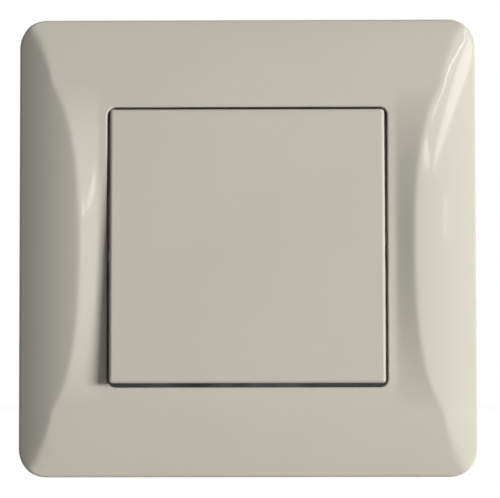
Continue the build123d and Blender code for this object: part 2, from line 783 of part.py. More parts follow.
def claw_nut(sign):
    """A square nut with a crowned face that rolls on the flange as the claw swings."""
    nut_back = nut_top - nut_thick
    edge = nut_top - nut_crown + sqrt(nut_crown**2 - (nut_width / 2) ** 2)
    left = sign * claw_screw_x - nut_width / 2
    right = left + nut_width
    with BuildPart() as nut:
        with BuildSketch(Plane.XY):
            with BuildLine():
                Polyline((left, -edge), (left, -nut_back), (right, -nut_back), (right, -edge))
                ThreePointArc((left, -edge), (sign * claw_screw_x, -nut_top), (right, -edge))
            make_face()
        extrude(amount=nut_height / 2, both=True)
        with BuildSketch(front(nut_back)):
            with Locations((sign * claw_screw_x, 0)):
                Circle(claw_screw_radius + nut_slack)
        extrude(amount=nut_thick, mode=Mode.SUBTRACT)
    return nut.part


# The two terminals, lower left and upper right
for terminal, sign in (("common", -1), ("switched", 1)):
    block = terminal_pillar(sign)
    block.label = f"{terminal}_terminal"
    export_step(block, f"parts/{block.label}.step")
    screw = terminal_screw(sign)
    screw.label = f"{terminal}_terminal_screw"
    export_step(screw, f"parts/{screw.label}.step")

# The two claws, one at each side of the base
for side, sign in (("left", -1), ("right", 1)):
    for name, make in (("claw", claw), ("claw_screw", claw_screw), ("claw_nut", claw_nut)):
        piece = make(sign)
        piece.label = f"{name}_{side}"
        export_step(piece, f"parts/{piece.label}.step")
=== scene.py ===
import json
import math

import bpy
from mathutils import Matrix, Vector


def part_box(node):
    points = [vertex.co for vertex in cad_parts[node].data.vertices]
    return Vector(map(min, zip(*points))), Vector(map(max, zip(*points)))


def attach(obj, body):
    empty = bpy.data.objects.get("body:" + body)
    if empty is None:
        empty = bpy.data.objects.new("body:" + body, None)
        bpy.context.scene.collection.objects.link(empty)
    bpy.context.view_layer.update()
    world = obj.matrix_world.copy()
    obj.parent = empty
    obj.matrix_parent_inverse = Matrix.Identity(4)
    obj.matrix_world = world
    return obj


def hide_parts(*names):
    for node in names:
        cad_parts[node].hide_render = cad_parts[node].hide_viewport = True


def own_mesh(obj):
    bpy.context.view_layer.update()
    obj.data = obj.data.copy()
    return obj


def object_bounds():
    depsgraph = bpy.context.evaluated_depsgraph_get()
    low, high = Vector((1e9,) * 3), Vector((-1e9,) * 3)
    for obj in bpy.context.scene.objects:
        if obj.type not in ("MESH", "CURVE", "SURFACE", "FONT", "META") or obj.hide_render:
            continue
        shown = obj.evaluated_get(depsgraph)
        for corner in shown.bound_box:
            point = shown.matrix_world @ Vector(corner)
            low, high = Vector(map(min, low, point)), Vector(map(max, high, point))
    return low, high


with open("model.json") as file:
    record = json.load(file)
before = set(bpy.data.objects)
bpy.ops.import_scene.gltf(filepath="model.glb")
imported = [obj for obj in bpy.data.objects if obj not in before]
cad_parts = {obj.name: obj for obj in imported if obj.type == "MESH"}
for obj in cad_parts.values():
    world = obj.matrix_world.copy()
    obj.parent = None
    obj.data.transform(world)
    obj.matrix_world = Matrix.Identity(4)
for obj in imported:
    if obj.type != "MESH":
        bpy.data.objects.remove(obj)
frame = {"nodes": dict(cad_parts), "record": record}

# %% [markdown]
# # A flush wall light switch
#
# The solids of this switch are ready: a moulded cover frame, a rocker, the steel plate behind them and the
# small snap mechanism in its box. This lesson dresses them. Each solid keeps its place, and a piece that needs
# softer edges, a thread or a finer surface gets a new mesh that stands for it.
#
# Blender counts in metres. Sizes are written here in mm, and `mm` turns them into metres where Blender reads
# them. The wall is the plane y = 0, the front faces -Y and +Z is up.

mm = 0.001
cad_low, cad_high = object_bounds()
nodes = frame["nodes"]
slot_of = {part["node"]: part["material_slot"] for part in frame["record"]["subparts"]}
body_of = {node: body for body, members in frame["record"]["behaviour"]["bodies"].items() for node in members}
print("solids:", len(nodes), "box in mm:", [round(x / mm, 1) for x in cad_high - cad_low])

# %% [markdown]
# ## Helpers for work by hand
#
# Operators act on whatever is selected, and the solids are all selected after loading. So each step starts with
# nothing selected and then picks its own vertices, edges or faces by where they lie. These helpers keep that
# habit in one place.

# %% Selecting by place
select_modes = {
    "vertices": (True, False, False),
    "edges": (False, True, False),
    "polygons": (False, False, True),
}


def pick(piece):
    """Makes one object the only selected and active one."""
    bpy.ops.object.select_all(action="DESELECT")
    piece.select_set(True)
    bpy.context.view_layer.objects.active = piece


def leave_edit():
    """Ends a step in edit mode, which writes its result to the mesh."""
    bpy.ops.object.mode_set(mode="OBJECT")


def select_where(piece, kind, test):
    """Selects the vertices, edges or polygons of a piece that pass a test, and stays in edit mode."""
    pick(piece)
    bpy.context.tool_settings.mesh_select_mode = select_modes[kind]
    bpy.ops.object.mode_set(mode="EDIT")
    bpy.ops.mesh.select_all(action="DESELECT")
    leave_edit()
    found = 0
    for element in getattr(piece.data, kind):
        element.select = bool(test(element))
        found += element.select
    bpy.ops.object.mode_set(mode="EDIT")
    return found


def everything(element):
    """A test that each vertex, edge or polygon passes."""
    return True


def apply_all(piece):
    """Applies every modifier of a piece in its order."""
    pick(piece)
    for modifier in list(piece.modifiers):
        bpy.ops.object.modifier_apply(modifier=modifier.name)


print("selected after loading:", len(bpy.context.selected_objects), "objects")

# %% [markdown]
# ## Finishes
#
# No surface of the switch is one flat colour. Plastic has slightly uneven pigment and a fine skin from its mould,
# and metal has a soft bloom and fine lines from rolling or drawing. A picture could be wrapped round each piece,
# but it would need a layout and would show its seams. Noise that is read at the place of each point needs neither.
#
# Both kinds of surface work alike: patches mix two colours and two roughnesses, and a finer noise gives the relief.
# So one function builds a node group for either, and each material places the group with its own values.

# %% A node group for a patchy surface
noise_low, noise_high = 0.3, 0.7


def noise(tree, vector, scale, detail):
    """A noise texture read at a vector."""
    texture = tree.nodes.new("ShaderNodeTexNoise")
    texture.inputs["Scale"].default_value = scale
    texture.inputs["Detail"].default_value = detail
    tree.links.new(vector, texture.inputs["Vector"])
    return texture.outputs["Fac"]


def remap(tree, value, low, high):
    """Stretches the usual range of a noise between two limits, which are numbers or sockets."""
    node = tree.nodes.new("ShaderNodeMapRange")
    node.inputs["From Min"].default_value = noise_low
    node.inputs["From Max"].default_value = noise_high
    tree.links.new(value, node.inputs["Value"])
    for label, limit in (("To Min", low), ("To Max", high)):
        if isinstance(limit, (int, float)):
            node.inputs[label].default_value = limit
        else:
            tree.links.new(limit, node.inputs[label])
    return node.outputs["Result"]


def blend_colours(tree, factor, first, second):
    """Mixes two colour sockets by a factor."""
    node = tree.nodes.new("ShaderNodeMix")
    node.data_type = "RGBA"
    tree.links.new(factor, node.inputs["Factor"])
    tree.links.new(first, node.inputs["A"])
    tree.links.new(second, node.inputs["B"])
    return node.outputs["Result"]


def patchy_surface(name, labels, patch, relief, stretch=(1, 1, 1)):
    """A group with two colours and two roughnesses, whose names are given, mixed in patches over a fine relief.

    Patch and relief are the scale and detail of a noise, and stretch draws the relief out along an axis.
    """
    group = bpy.data.node_groups.new(name, "ShaderNodeTree")
    for label, kind in zip(labels, ("Color", "Color", "Float", "Float")):
        group.interface.new_socket(label, in_out="INPUT", socket_type="NodeSocket" + kind)
    for label, kind in (("Colour", "Color"), ("Roughness", "Float"), ("Height", "Float")):
        group.interface.new_socket(label, in_out="OUTPUT", socket_type="NodeSocket" + kind)
    given = group.nodes.new("NodeGroupInput").outputs
    result = group.nodes.new("NodeGroupOutput").inputs
    place = group.nodes.new("ShaderNodeTexCoord").outputs["Object"]
    drawn_out = group.nodes.new("ShaderNodeMapping")
    drawn_out.inputs["Scale"].default_value = stretch
    group.links.new(place, drawn_out.inputs["Vector"])
    patches = noise(group, place, *patch)
    mask = remap(group, patches, 0.0, 1.0)
    group.links.new(blend_colours(group, mask, given[0], given[1]), result["Colour"])
    group.links.new(remap(group, patches, given[2], given[3]), result["Roughness"])
    group.links.new(noise(group, drawn_out.outputs["Vector"], *relief), result["Height"])
    print("group", name, "with", len(group.nodes), "nodes")
    return group


moulded_skin = patchy_surface("moulded_skin", ("Colour", "Pigment streak", "Smooth", "Dull"), (45, 3), (900, 2))
worked_metal = patchy_surface(
    "worked_metal", ("Bright", "Bloom", "Polished", "Worn"), (160, 4), (2600, 2), stretch=(1.0, 1.0, 0.06)
)

# %% [markdown]
# ### Seven materials
#
# The frame and the rocker are glossy ivory, the small mouldings inside are white and the box behind is grey. The
# plate, claws and screws are dull zinc, the spring is bright steel, and the current runs through brass with silver
# contacts. One function makes all the materials from two short tables, because they differ only in numbers. Metallic
# and IOR are the same all over a piece, so they are set on the shader itself.


# %% The finishes of the switch
def finish_from(name, group, colours, roughness, relief, metallic, ior):
    """A principled material whose colour, roughness and relief come from a group; the relief's depth is in mm."""
    material = bpy.data.materials.new(name)
    material.use_nodes = True
    tree = material.node_tree
    shader = tree.nodes["Principled BSDF"]
    shader.inputs["Metallic"].default_value = metallic
    shader.inputs["IOR"].default_value = ior
    pattern = tree.nodes.new("ShaderNodeGroup")
    pattern.node_tree = group
    opaque = [(*colour, 1) for colour in colours]
    for index, value in enumerate([*opaque, *roughness]):
        pattern.inputs[index].default_value = value
    bump = tree.nodes.new("ShaderNodeBump")
    strength, depth = relief
    bump.inputs["Strength"].default_value = strength
    bump.inputs["Distance"].default_value = depth * mm
    tree.links.new(pattern.outputs["Colour"], shader.inputs["Base Color"])
    tree.links.new(pattern.outputs["Roughness"], shader.inputs["Roughness"])
    tree.links.new(pattern.outputs["Height"], bump.inputs["Height"])
    tree.links.new(bump.outputs["Normal"], shader.inputs["Normal"])
    return material


# Two colours, two roughnesses, strength and depth of the relief, and for plastics the IOR
gloss_ior = 1.45
usual_ior = 1.5
plastics = {
    "ivory_gloss": (((0.508, 0.482, 0.410), (0.494, 0.474, 0.400)), (0.03, 0.04), (0.03, 0.02), gloss_ior),
    "white_plastic": (((0.80, 0.80, 0.78), (0.76, 0.76, 0.73)), (0.35, 0.45), (0.15, 0.05), usual_ior),
    "grey_plastic": (((0.36, 0.37, 0.38), (0.31, 0.32, 0.33)), (0.45, 0.60), (0.25, 0.08), usual_ior),
}
metals = {
    "zinc_steel": (((0.43, 0.42, 0.41), (0.35, 0.345, 0.33)), (0.42, 0.58), (0.10, 0.03)),
    "spring_steel": (((0.58, 0.59, 0.61), (0.48, 0.49, 0.52)), (0.18, 0.30), (0.08, 0.02)),
    "brass": (((0.78, 0.60, 0.28), (0.62, 0.45, 0.20)), (0.22, 0.40), (0.12, 0.03)),
    "silver": (((0.88, 0.87, 0.84), (0.78, 0.77, 0.74)), (0.12, 0.25), (0.06, 0.02)),
}
finishes = {}
for name, (colours, roughness, relief, ior) in plastics.items():
    finishes[name] = finish_from(name, moulded_skin, colours, roughness, relief, 0.0, ior)
for name, (colours, roughness, relief) in metals.items():
    finishes[name] = finish_from(name, worked_metal, colours, roughness, relief, 1.0, usual_ior)
for name, node in nodes.items():
    node.data.materials.clear()
    node.data.materials.append(finishes[slot_of[name]])
print("finishes:", ", ".join(finishes))

# %% [markdown]
# ## The cover frame
#
# The real frame is one moulding: a flat band above and below that rolls off to the edge, and at each side a
# bowed wing. A bank beside the rocker climbs to a soft crest and fades towards both ends. The solid has these
# forms, but its facets would show in the gloss. A subdivided cage would be smooth, but hard to hold to a given
# curve. So a net of small quads is laid over three smooth guide sheets, like cloth over formers: first on the flat
# front and the banks, then back on to the wings where those lie deeper.
#
# ### The wing sheet
#
# Each wing is part of a cylinder that stands upright. An upright row of two points is spun round the cylinder's
# axis, and a Mirror modifier makes the other side. The sheets reach a little past the frame, so no point of the
# net misses them.

# %% Rows of points, and the wing sheet
frame_half = 41.0
sheet_margin = 1.0
sheet_reach = frame_half + sheet_margin
wing_top = 10.57
wing_run = 16.0
wing_radius = 31.0
wing_steps = 120


def row_of_points(name, places):
    """One, two or three points in a row, in mm: a plane with its other corners deleted."""
    bpy.ops.object.select_all(action="DESELECT")
    bpy.ops.mesh.primitive_plane_add(size=2 * mm)
    row = bpy.context.object
    row.name = name
    select_where(row, "vertices", lambda v: v.index >= len(places))
    bpy.ops.mesh.delete(type="VERT")
    leave_edit()
    # The corners 1, 0 and 2 of a plane follow each other along its edge
    order = (1, 0, 2) if len(places) == 3 else (0, 1)
    for index, place in zip(order, places):
        row.data.vertices[index].co = Vector(place) * mm
    return row


def spin_on(steps, degrees, centre, axis):
    """Spins what is selected about a centre given in mm. A positive angle turns clockwise about the axis."""
    bpy.ops.mesh.spin(steps=steps, angle=math.radians(degrees), center=tuple(Vector(centre) * mm), axis=axis)
    leave_edit()


def mirrored(sheet, axis):
    """Mirrors a sheet about the middle of the switch, across axis 0, 1 or 2, and prints how far it reaches."""
    other_side = sheet.modifiers.new("other_side", "MIRROR")
    other_side.use_axis = [axis == 0, axis == 1, axis == 2]
    apply_all(sheet)
    reach = [max(v.co[i] for v in sheet.data.vertices) / mm for i in range(3)]
    print(sheet.name, len(sheet.data.polygons), "faces, reaches", [round(r, 2) for r in reach])


wing_start = frame_half - wing_run
wing_turn = math.degrees(math.asin((wing_run + sheet_margin) / wing_radius))
wing_sheet = row_of_points(
    "wing_sheet", ((wing_start, -wing_top, -sheet_reach), (wing_start, -wing_top, sheet_reach))
)
select_where(wing_sheet, "vertices", everything)
spin_on(wing_steps, -wing_turn, (wing_start, wing_radius - wing_top, 0), (0, 0, 1))
mirrored(wing_sheet, 0)

# %% [markdown]
# ### The band sheet
#
# The flat front rolls off at the top and the bottom. A level row of two points is extruded upwards for the flat
# part and spun on from there for the roll, which leaves no crease between the two.

# %% The band sheet
flat_height = 9.0
band_run = 13.5
band_radius = 47.5
band_steps = 60
band_start = frame_half - band_run
band_turn = math.degrees(math.asin((band_run + sheet_margin) / band_radius))
band_sheet = row_of_points("band_sheet", ((-sheet_reach, -flat_height, 0), (sheet_reach, -flat_height, 0)))
select_where(band_sheet, "vertices", everything)
bpy.ops.mesh.extrude_region_move(TRANSFORM_OT_translate={"value": (0, 0, band_start * mm)})
spin_on(band_steps, band_turn, (0, band_radius - flat_height, band_start), (1, 0, 0))
mirrored(band_sheet, 2)

# %% [markdown]
# ### The bank sheet
#
# A bank is straight along its foot beside the rocker and bowed far out, so it is highest in the middle and fades
# towards its ends. The foot is a divided line and the bow is a point spun to an arc. Bridging the two gives the
# ruled sheet between them.

# %% The bank sheet
bank_foot = 26.5
bank_half_length = 29.0
bank_slope = math.tan(math.radians(20))
bank_steps = 100
bank_cuts = 40


def join_pieces(first, second):
    """Joins a second piece into the first."""
    pick(first)
    second.select_set(True)
    bpy.ops.object.join()
    return first


bow_rise = (sheet_reach - bank_foot) * bank_slope
bow_radius = (bank_half_length**2 + bow_rise**2) / (2 * bow_rise)
bow_turn = 2 * math.degrees(math.asin(bank_half_length / bow_radius))
bank_bow = row_of_points("bank_bow", ((sheet_reach, -flat_height, -bank_half_length),))
select_where(bank_bow, "vertices", everything)
spin_on(bank_steps, bow_turn, (sheet_reach, bow_radius - bow_rise - flat_height, 0), (1, 0, 0))
bank_sheet = row_of_points(
    "bank_sheet", ((bank_foot, -flat_height, -bank_half_length), (bank_foot, -flat_height, bank_half_length))
)
select_where(bank_sheet, "vertices", everything)
bpy.ops.mesh.subdivide(number_cuts=bank_steps - 1)
leave_edit()
join_pieces(bank_sheet, bank_bow)
select_where(bank_sheet, "vertices", everything)
bpy.ops.mesh.bridge_edge_loops(number_cuts=bank_cuts, interpolation="LINEAR")
leave_edit()
mirrored(bank_sheet, 0)

# %% [markdown]
# ### The net
#
# The net has to follow the outline and the opening, or their edges would be ragged. A plain grid can't do that. So
# the net starts as three square loops with rounded corners, for the outline, the rim just inside it and the opening.
# All have the same number of points, and bridging them gives only quads.

# %% Three rounded loops, bridged to a net
frame_corner = 5.0
rim_margin = 0.6
rim_half = frame_half - rim_margin
rim_corner = frame_corner - rim_margin
opening_half = 25.1
opening_corner = 1.6
side_cells = 101
corner_cells = 10
net_cuts = 64
in_front = -20.0
touch = 0.01


def ends_of(piece, edge):
    """The places of the two ends of an edge."""
    return [piece.data.vertices[i].co for i in edge.vertices]


def rounded_loop(name, half, corner):
    """A square loop with rounded corners and evenly divided sides, in front of the frame."""
    bpy.ops.object.select_all(action="DESELECT")
    bpy.ops.mesh.primitive_plane_add(
        size=2 * half * mm, location=(0, in_front * mm, 0), rotation=(math.radians(90), 0, 0)
    )
    loop = bpy.context.object
    loop.name = name
    bpy.ops.object.transform_apply(location=True, rotation=True, scale=True)
    bpy.ops.object.mode_set(mode="EDIT")
    bpy.ops.mesh.select_all(action="SELECT")
    bpy.ops.mesh.bevel(offset=corner * mm, segments=corner_cells, affect="VERTICES")
    bpy.ops.mesh.select_all(action="SELECT")
    bpy.ops.mesh.delete(type="ONLY_FACE")
    leave_edit()

    def is_side(edge):
        start, end = ends_of(loop, edge)
        return (start - end).length > half * mm

    select_where(loop, "edges", is_side)
    bpy.ops.mesh.subdivide(number_cuts=side_cells - 1)
    leave_edit()
    return loop


def outside_by(point, half, corner):
    """How far a point lies outside a rounded square, in mm; it is zero on the line and negative inside."""
    over_x = max(abs(point.x) / mm - half + corner, 0)
    over_z = max(abs(point.z) / mm - half + corner, 0)
    return math.hypot(over_x, over_z) - corner


frame_net = join_pieces(
    rounded_loop("frame_net", frame_half, frame_corner), rounded_loop("rim_loop", rim_half, rim_corner)
)
select_where(frame_net, "edges", everything)
bpy.ops.mesh.bridge_edge_loops()
leave_edit()
join_pieces(frame_net, rounded_loop("opening_loop", opening_half, opening_corner))


def up_to_rim(edge):
    """True for the edges of the rim loop and the opening loop."""
    return all(outside_by(end, rim_half, rim_corner) < touch for end in ends_of(frame_net, edge))


select_where(frame_net, "edges", up_to_rim)
bpy.ops.mesh.bridge_edge_loops(number_cuts=net_cuts, interpolation="LINEAR")
leave_edit()
print("net of", len(frame_net.data.polygons), "quads")

# %% [markdown]
# ### Laying the net
#
# The net waits in front of the frame and is pressed straight back by a Shrinkwrap modifier, which stops each point
# at the first sheet that it meets. That gives the higher of band and bank. A second press moves on to the wings
# those points that still lie in front of them, so there the deeper form wins, as where one form is cut with another.
# The sheets have then done their work and are removed.


# %% Lay the net on the sheets
def press(piece, target, second_target=None):
    """Moves a net straight back, along +Y, on to the first of the sheets that it meets."""
    pressing = piece.modifiers.new("pressing", "SHRINKWRAP")
    pressing.target = target
    pressing.auxiliary_target = second_target
    pressing.wrap_method = "PROJECT"
    pressing.use_project_y = True
    pressing.use_positive_direction = True
    pressing.use_negative_direction = False
    apply_all(piece)


press(frame_net, band_sheet, bank_sheet)
press(frame_net, wing_sheet)
for sheet in (wing_sheet, band_sheet, bank_sheet):
    bpy.data.objects.remove(sheet, do_unlink=True)
heights = [-v.co.y / mm for v in frame_net.data.vertices]
print("front from", round(min(heights), 2), "to", round(max(heights), 2), "mm off the wall")

# %% [markdown]
# ### A soft crest
#
# Where two sheets cross, the net has a crease, and a moulding has none. A bevel would give a band of even width
# that ends abruptly. A Smooth modifier, kept to the bank and its crest by a vertex group, spreads the crease over
# about a millimetre in the middle, and over less towards the corners.

# %% Smooth the bank and its crest
least_softness = 0.3
fade_length = 30.0
edge_clearance = 0.2
crest_band = frame_net.vertex_groups.new(name="crest_band")
softened = 0
for vertex in frame_net.data.vertices:
    from_opening = outside_by(vertex.co, opening_half, opening_corner)
    from_rim = -outside_by(vertex.co, frame_half, frame_corner)
    weight = min(1, max(0, from_opening - edge_clearance), max(0, from_rim - rim_margin))
    weight *= max(least_softness, min(1, 1 + least_softness - abs(vertex.co.z) / (fade_length * mm)))
    if abs(vertex.co.x) > opening_half * mm and weight > 0:
        crest_band.add([vertex.index], weight, "REPLACE")
        softened += 1
soften_crest = frame_net.modifiers.new("soften_crest", "SMOOTH")
soften_crest.vertex_group = crest_band.name
soften_crest.factor = 0.5
soften_crest.iterations = 20
apply_all(frame_net)
print("crest softened at", softened, "points")

# %% [markdown]
# ### Side walls and rim
#
# The frame stands on the wall with upright sides and a small round along its front edge. The outline of the net is
# extruded and flattened on to the wall, which gives the sides in one step, and a bevel rounds the edge in front.

# %% Pull the outline back and round the rim
rim_round = 0.5
rim_segments = 4
rim_lowest = 1.0


def on_outline(point):
    """True for a point on the outline of the frame."""
    return outside_by(point, frame_half, frame_corner) > -touch


def on_front_rim(edge):
    """True for the edges of the outline at the front."""
    return all(on_outline(end) and end.y < -rim_lowest * mm for end in ends_of(frame_net, edge))


select_where(frame_net, "vertices", lambda v: on_outline(v.co))
bpy.ops.mesh.extrude_region_move()
bpy.ops.transform.resize(value=(1, 0, 1), center_override=(0, 0, 0))
leave_edit()
rim_edges = select_where(frame_net, "edges", on_front_rim)
bpy.ops.mesh.bevel(offset=rim_round * mm, segments=rim_segments, affect="EDGES")
leave_edit()
print("rim of", rim_edges, "edges rounded")

# %% [markdown]
# ### The back of the moulding
#
# Behind the front are a collar round the opening, hooks and the hollow inside. The solid has them all, and their
# plain faces need no finer mesh, so a merged copy gives the back. The faces that the net stands for are deleted from
# it, and the two seams are filled. The two loops of a seam have different numbers of points, so a fill suits them
# and a bridge doesn't.

# %% A merged copy of the solid, without its front
frame_wall = 1.8
opening_bevel = 0.1
side_margin = 0.1
front_lowest = 5.0
merge_distance = 0.0005
# Limits for the Y part of a face's normal
leans_forward = -0.05
nearly_upright = 0.3


def merged_copy(node, name):
    """A copy of a solid's mesh, with its loose triangles joined."""
    copy = bpy.data.objects.new(name, nodes[node].data.copy())
    bpy.context.scene.collection.objects.link(copy)
    pick(copy)
    bpy.ops.object.mode_set(mode="EDIT")
    bpy.ops.mesh.select_all(action="SELECT")
    bpy.ops.mesh.remove_doubles(threshold=merge_distance * mm)
    leave_edit()
    return copy


def shown_by_net(face):
    """True for the faces of the solid that the net and its side walls stand for."""
    off_wall = -face.center.y / mm
    past_opening = outside_by(face.center, opening_half, opening_corner)
    past_outline = outside_by(face.center, frame_half, frame_corner)
    front = face.normal.y < leans_forward and off_wall > front_lowest and past_opening > -opening_bevel
    side = abs(face.normal.y) < nearly_upright and past_outline > -side_margin
    foot = off_wall < touch and past_outline > -frame_wall
    return front or side or foot


frame_shell = merged_copy("cover_frame", "frame_shell")
deleted = select_where(frame_shell, "polygons", shown_by_net)
bpy.ops.mesh.delete(type="FACE")
leave_edit()
join_pieces(frame_shell, frame_net)
print("faces of the solid that the net stands for:", deleted)

# %% Close the seams and let the shell stand for the solid
foot_band = (-0.05, 0.05)
opening_band = (flat_height - 0.5, flat_height + 0.5)
frame_crease = 35
crease = 40


def close_seam(piece, band):
    """Fills the ring between the two open loops that lie in a band of heights off the wall."""
    lowest, highest = band
    uses = {}
    for face in piece.data.polygons:
        for key in face.edge_keys:
            uses[key] = uses.get(key, 0) + 1

    def is_open(edge):
        return uses.get(edge.key) == 1 and all(lowest < -end.y / mm < highest for end in ends_of(piece, edge))

    count = select_where(piece, "edges", is_open)
    before = len(piece.data.polygons)
    bpy.ops.mesh.fill()
    leave_edit()
    print("seam of", count, "edges closed with", len(piece.data.polygons) - before, "faces")


def face_outwards(piece):
    """Turns all faces of a closed piece outwards."""
    select_where(piece, "polygons", everything)
    bpy.ops.mesh.normals_make_consistent(inside=False)
    leave_edit()


def shade_smooth(piece, degrees):
    """Shades a piece smooth, except at edges that are sharper than an angle."""
    pick(piece)
    bpy.ops.object.shade_smooth_by_angle(angle=math.radians(degrees))


def stands_for(piece, node):
    """Lets a finished piece ride on the body of a solid and stand for it."""
    piece.data.materials.clear()
    piece.data.materials.append(finishes[slot_of[node]])
    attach(piece, body_of[node])
    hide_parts(node)
    print(piece.name, "stands for", node, "with", len(piece.data.polygons), "faces")


close_seam(frame_shell, foot_band)
close_seam(frame_shell, opening_band)
face_outwards(frame_shell)
shade_smooth(frame_shell, frame_crease)
stands_for(frame_shell, "cover_frame")

# %% [markdown]
# ## Softer edges on the other solids
#
# Moulded and stamped pieces have small rounds on every edge, and those thin lines of light say what a piece
# is made of. Each could be modelled anew, but the solids have the right shape already. So a copy of each is merged,
# its flat faces are joined, and a Bevel modifier rounds what is left of the sharp edges. Weighted normals keep the
# broad faces flat. The rocker's solid has its rounds, so it only gets the shading.

# %% Rounding the edges of a copy
flat_within = 0.5
round_segments = 2


def flat_copy(node, name):
    """A merged copy of a solid whose flat faces are each one face."""
    piece = merged_copy(node, name)
    bpy.ops.object.mode_set(mode="EDIT")
    bpy.ops.mesh.select_all(action="SELECT")
    bpy.ops.mesh.dissolve_limited(angle_limit=math.radians(flat_within))
    leave_edit()
    return piece


def soften(piece, width):
    """Rounds the sharp edges of a piece by a width in mm and shades its broad faces flat."""
    if width:
        rounding = piece.modifiers.new("rounding", "BEVEL")
        rounding.width = width * mm
        rounding.segments = round_segments
        rounding.limit_method = "ANGLE"
        rounding.angle_limit = math.radians(crease)
    apply_all(piece)
    shade_smooth(piece, crease)
    flatten = piece.modifiers.new("flatten", "WEIGHTED_NORMAL")
    flatten.keep_sharp = True
    apply_all(piece)


edge_rounds = {
    "rocker_cap": ("rocker_face", 0),
    "rocker_cradle": ("cradle_moulding", 0.15),
    "plunger": ("plunger_pin", 0.06),
    "support_plate": ("steel_plate", 0.12),
    "mechanism_base": ("switch_box", 0.2),
    "mechanism_cover": ("bearing_cover", 0.12),
    "body_screws": ("housing_screws", 0.1),
    "moving_contact": ("rocking_strip", 0.05),
    "moving_contact_rivet": ("moving_silver", 0.03),
    "fixed_contact_rivet": ("fixed_silver", 0.03),
    "common_strip": ("common_bar", 0.06),
    "switched_strip": ("switched_bar", 0.06),
    "common_terminal": ("common_block", 0.15),
    "switched_terminal": ("switched_block", 0.15),
    "claw_left": ("claw_plate_left", 0.12),
    "claw_right": ("claw_plate_right", 0.12),
    "claw_nut_left": ("square_nut_left", 0.12),
    "claw_nut_right": ("square_nut_right", 0.12),
}
for node, (name, width) in edge_rounds.items():
    piece = flat_copy(node, name)
    soften(piece, width)
    stands_for(piece, node)

# %% [markdown]
# ## Screw threads
#
# The solids have plain shafts. A bump in the material could hint at a thread, but its outline would stay straight.
# A real thread is one tooth of a saw, swept round the shaft and along it at once, and a triangle with a Screw
# modifier does just that. The shaft of the copied screw is drawn in to the root of the thread, so the teeth stand
# on it and stay inside the old shaft. Both ends of the sweep are closed.

# %% Screws with a swept thread
shaft_radius = 1.5
thread_root = 1.22
thread_pitch = 0.5
thread_steps = 32
tooth_sink = 0.03
tooth_gap = 0.01
shaft_margin = 0.1
screw_round = 0.12


def swept(outline, pitch, turns, steps, sides):
    """Sweeps a closed outline round the Z axis, rising by a pitch in mm with every turn, and closes both ends."""
    sweep = outline.modifiers.new("sweep", "SCREW")
    sweep.axis = "Z"
    sweep.angle = math.radians(360)
    sweep.screw_offset = pitch * mm
    sweep.iterations = turns
    sweep.steps = steps
    sweep.render_steps = steps
    apply_all(outline)
    select_where(outline, "vertices", everything)
    bpy.ops.mesh.fill_holes(sides=sides)
    leave_edit()
    face_outwards(outline)


def moved(piece, tilt, place):
    """Tilts a piece about X, so that +Z leans towards -Y, and then moves it by a place in mm."""
    select_where(piece, "vertices", everything)
    bpy.ops.transform.rotate(value=-math.radians(tilt), orient_axis="X", center_override=(0, 0, 0))
    bpy.ops.transform.translate(value=tuple(Vector(place) * mm))
    leave_edit()


def threaded_screw(node, name, thread_start, turns, along):
    """A copy of a screw with a thread on its shaft, whose axis runs along Y or Z."""
    middle = Vector(thread_start) * mm
    across = "xz" if along == "y" else "xy"

    def on_shaft(vertex):
        off_axis = [getattr(vertex.co, axis) - getattr(middle, axis) for axis in across]
        return math.hypot(*off_axis) < (shaft_radius + shaft_margin) * mm

    screw = flat_copy(node, name)
    found = select_where(screw, "vertices", on_shaft)
    inwards = thread_root / shaft_radius
    narrowed = (inwards, 1, inwards) if along == "y" else (inwards, inwards, 1)
    bpy.ops.transform.resize(value=narrowed, center_override=tuple(middle))
    leave_edit()
    soften(screw, screw_round)
    sunk = thread_root - tooth_sink
    tooth = ((sunk, 0, 0), (shaft_radius, 0, thread_pitch / 2), (sunk, 0, thread_pitch - tooth_gap))
    thread = row_of_points(name + "_thread", tooth)
    # Joining the two ends of the row closes the tooth
    select_where(thread, "vertices", lambda v: v.index > 0)
    bpy.ops.mesh.edge_face_add()
    leave_edit()
    swept(thread, thread_pitch, turns, thread_steps, len(tooth))
    moved(thread, -90 if along == "y" else 0, thread_start)
    join_pieces(screw, thread)
    shade_smooth(screw, crease)
    print(name, "shaft points", found, "thread turns", turns)
    stands_for(screw, node)


threaded_screw("claw_screw_left", "claw_bolt_left", (-24.5, -1.5, 0), 32, "y")
threaded_screw("claw_screw_right", "claw_bolt_right", (24.5, -1.5, 0), 32, "y")
threaded_screw("common_terminal_screw", "common_clamp_screw", (-12.5, 15.5, -19.0), 7, "z")
threaded_screw("switched_terminal_screw", "switched_clamp_screw", (12.5, 15.5, 15.0), 7, "z")
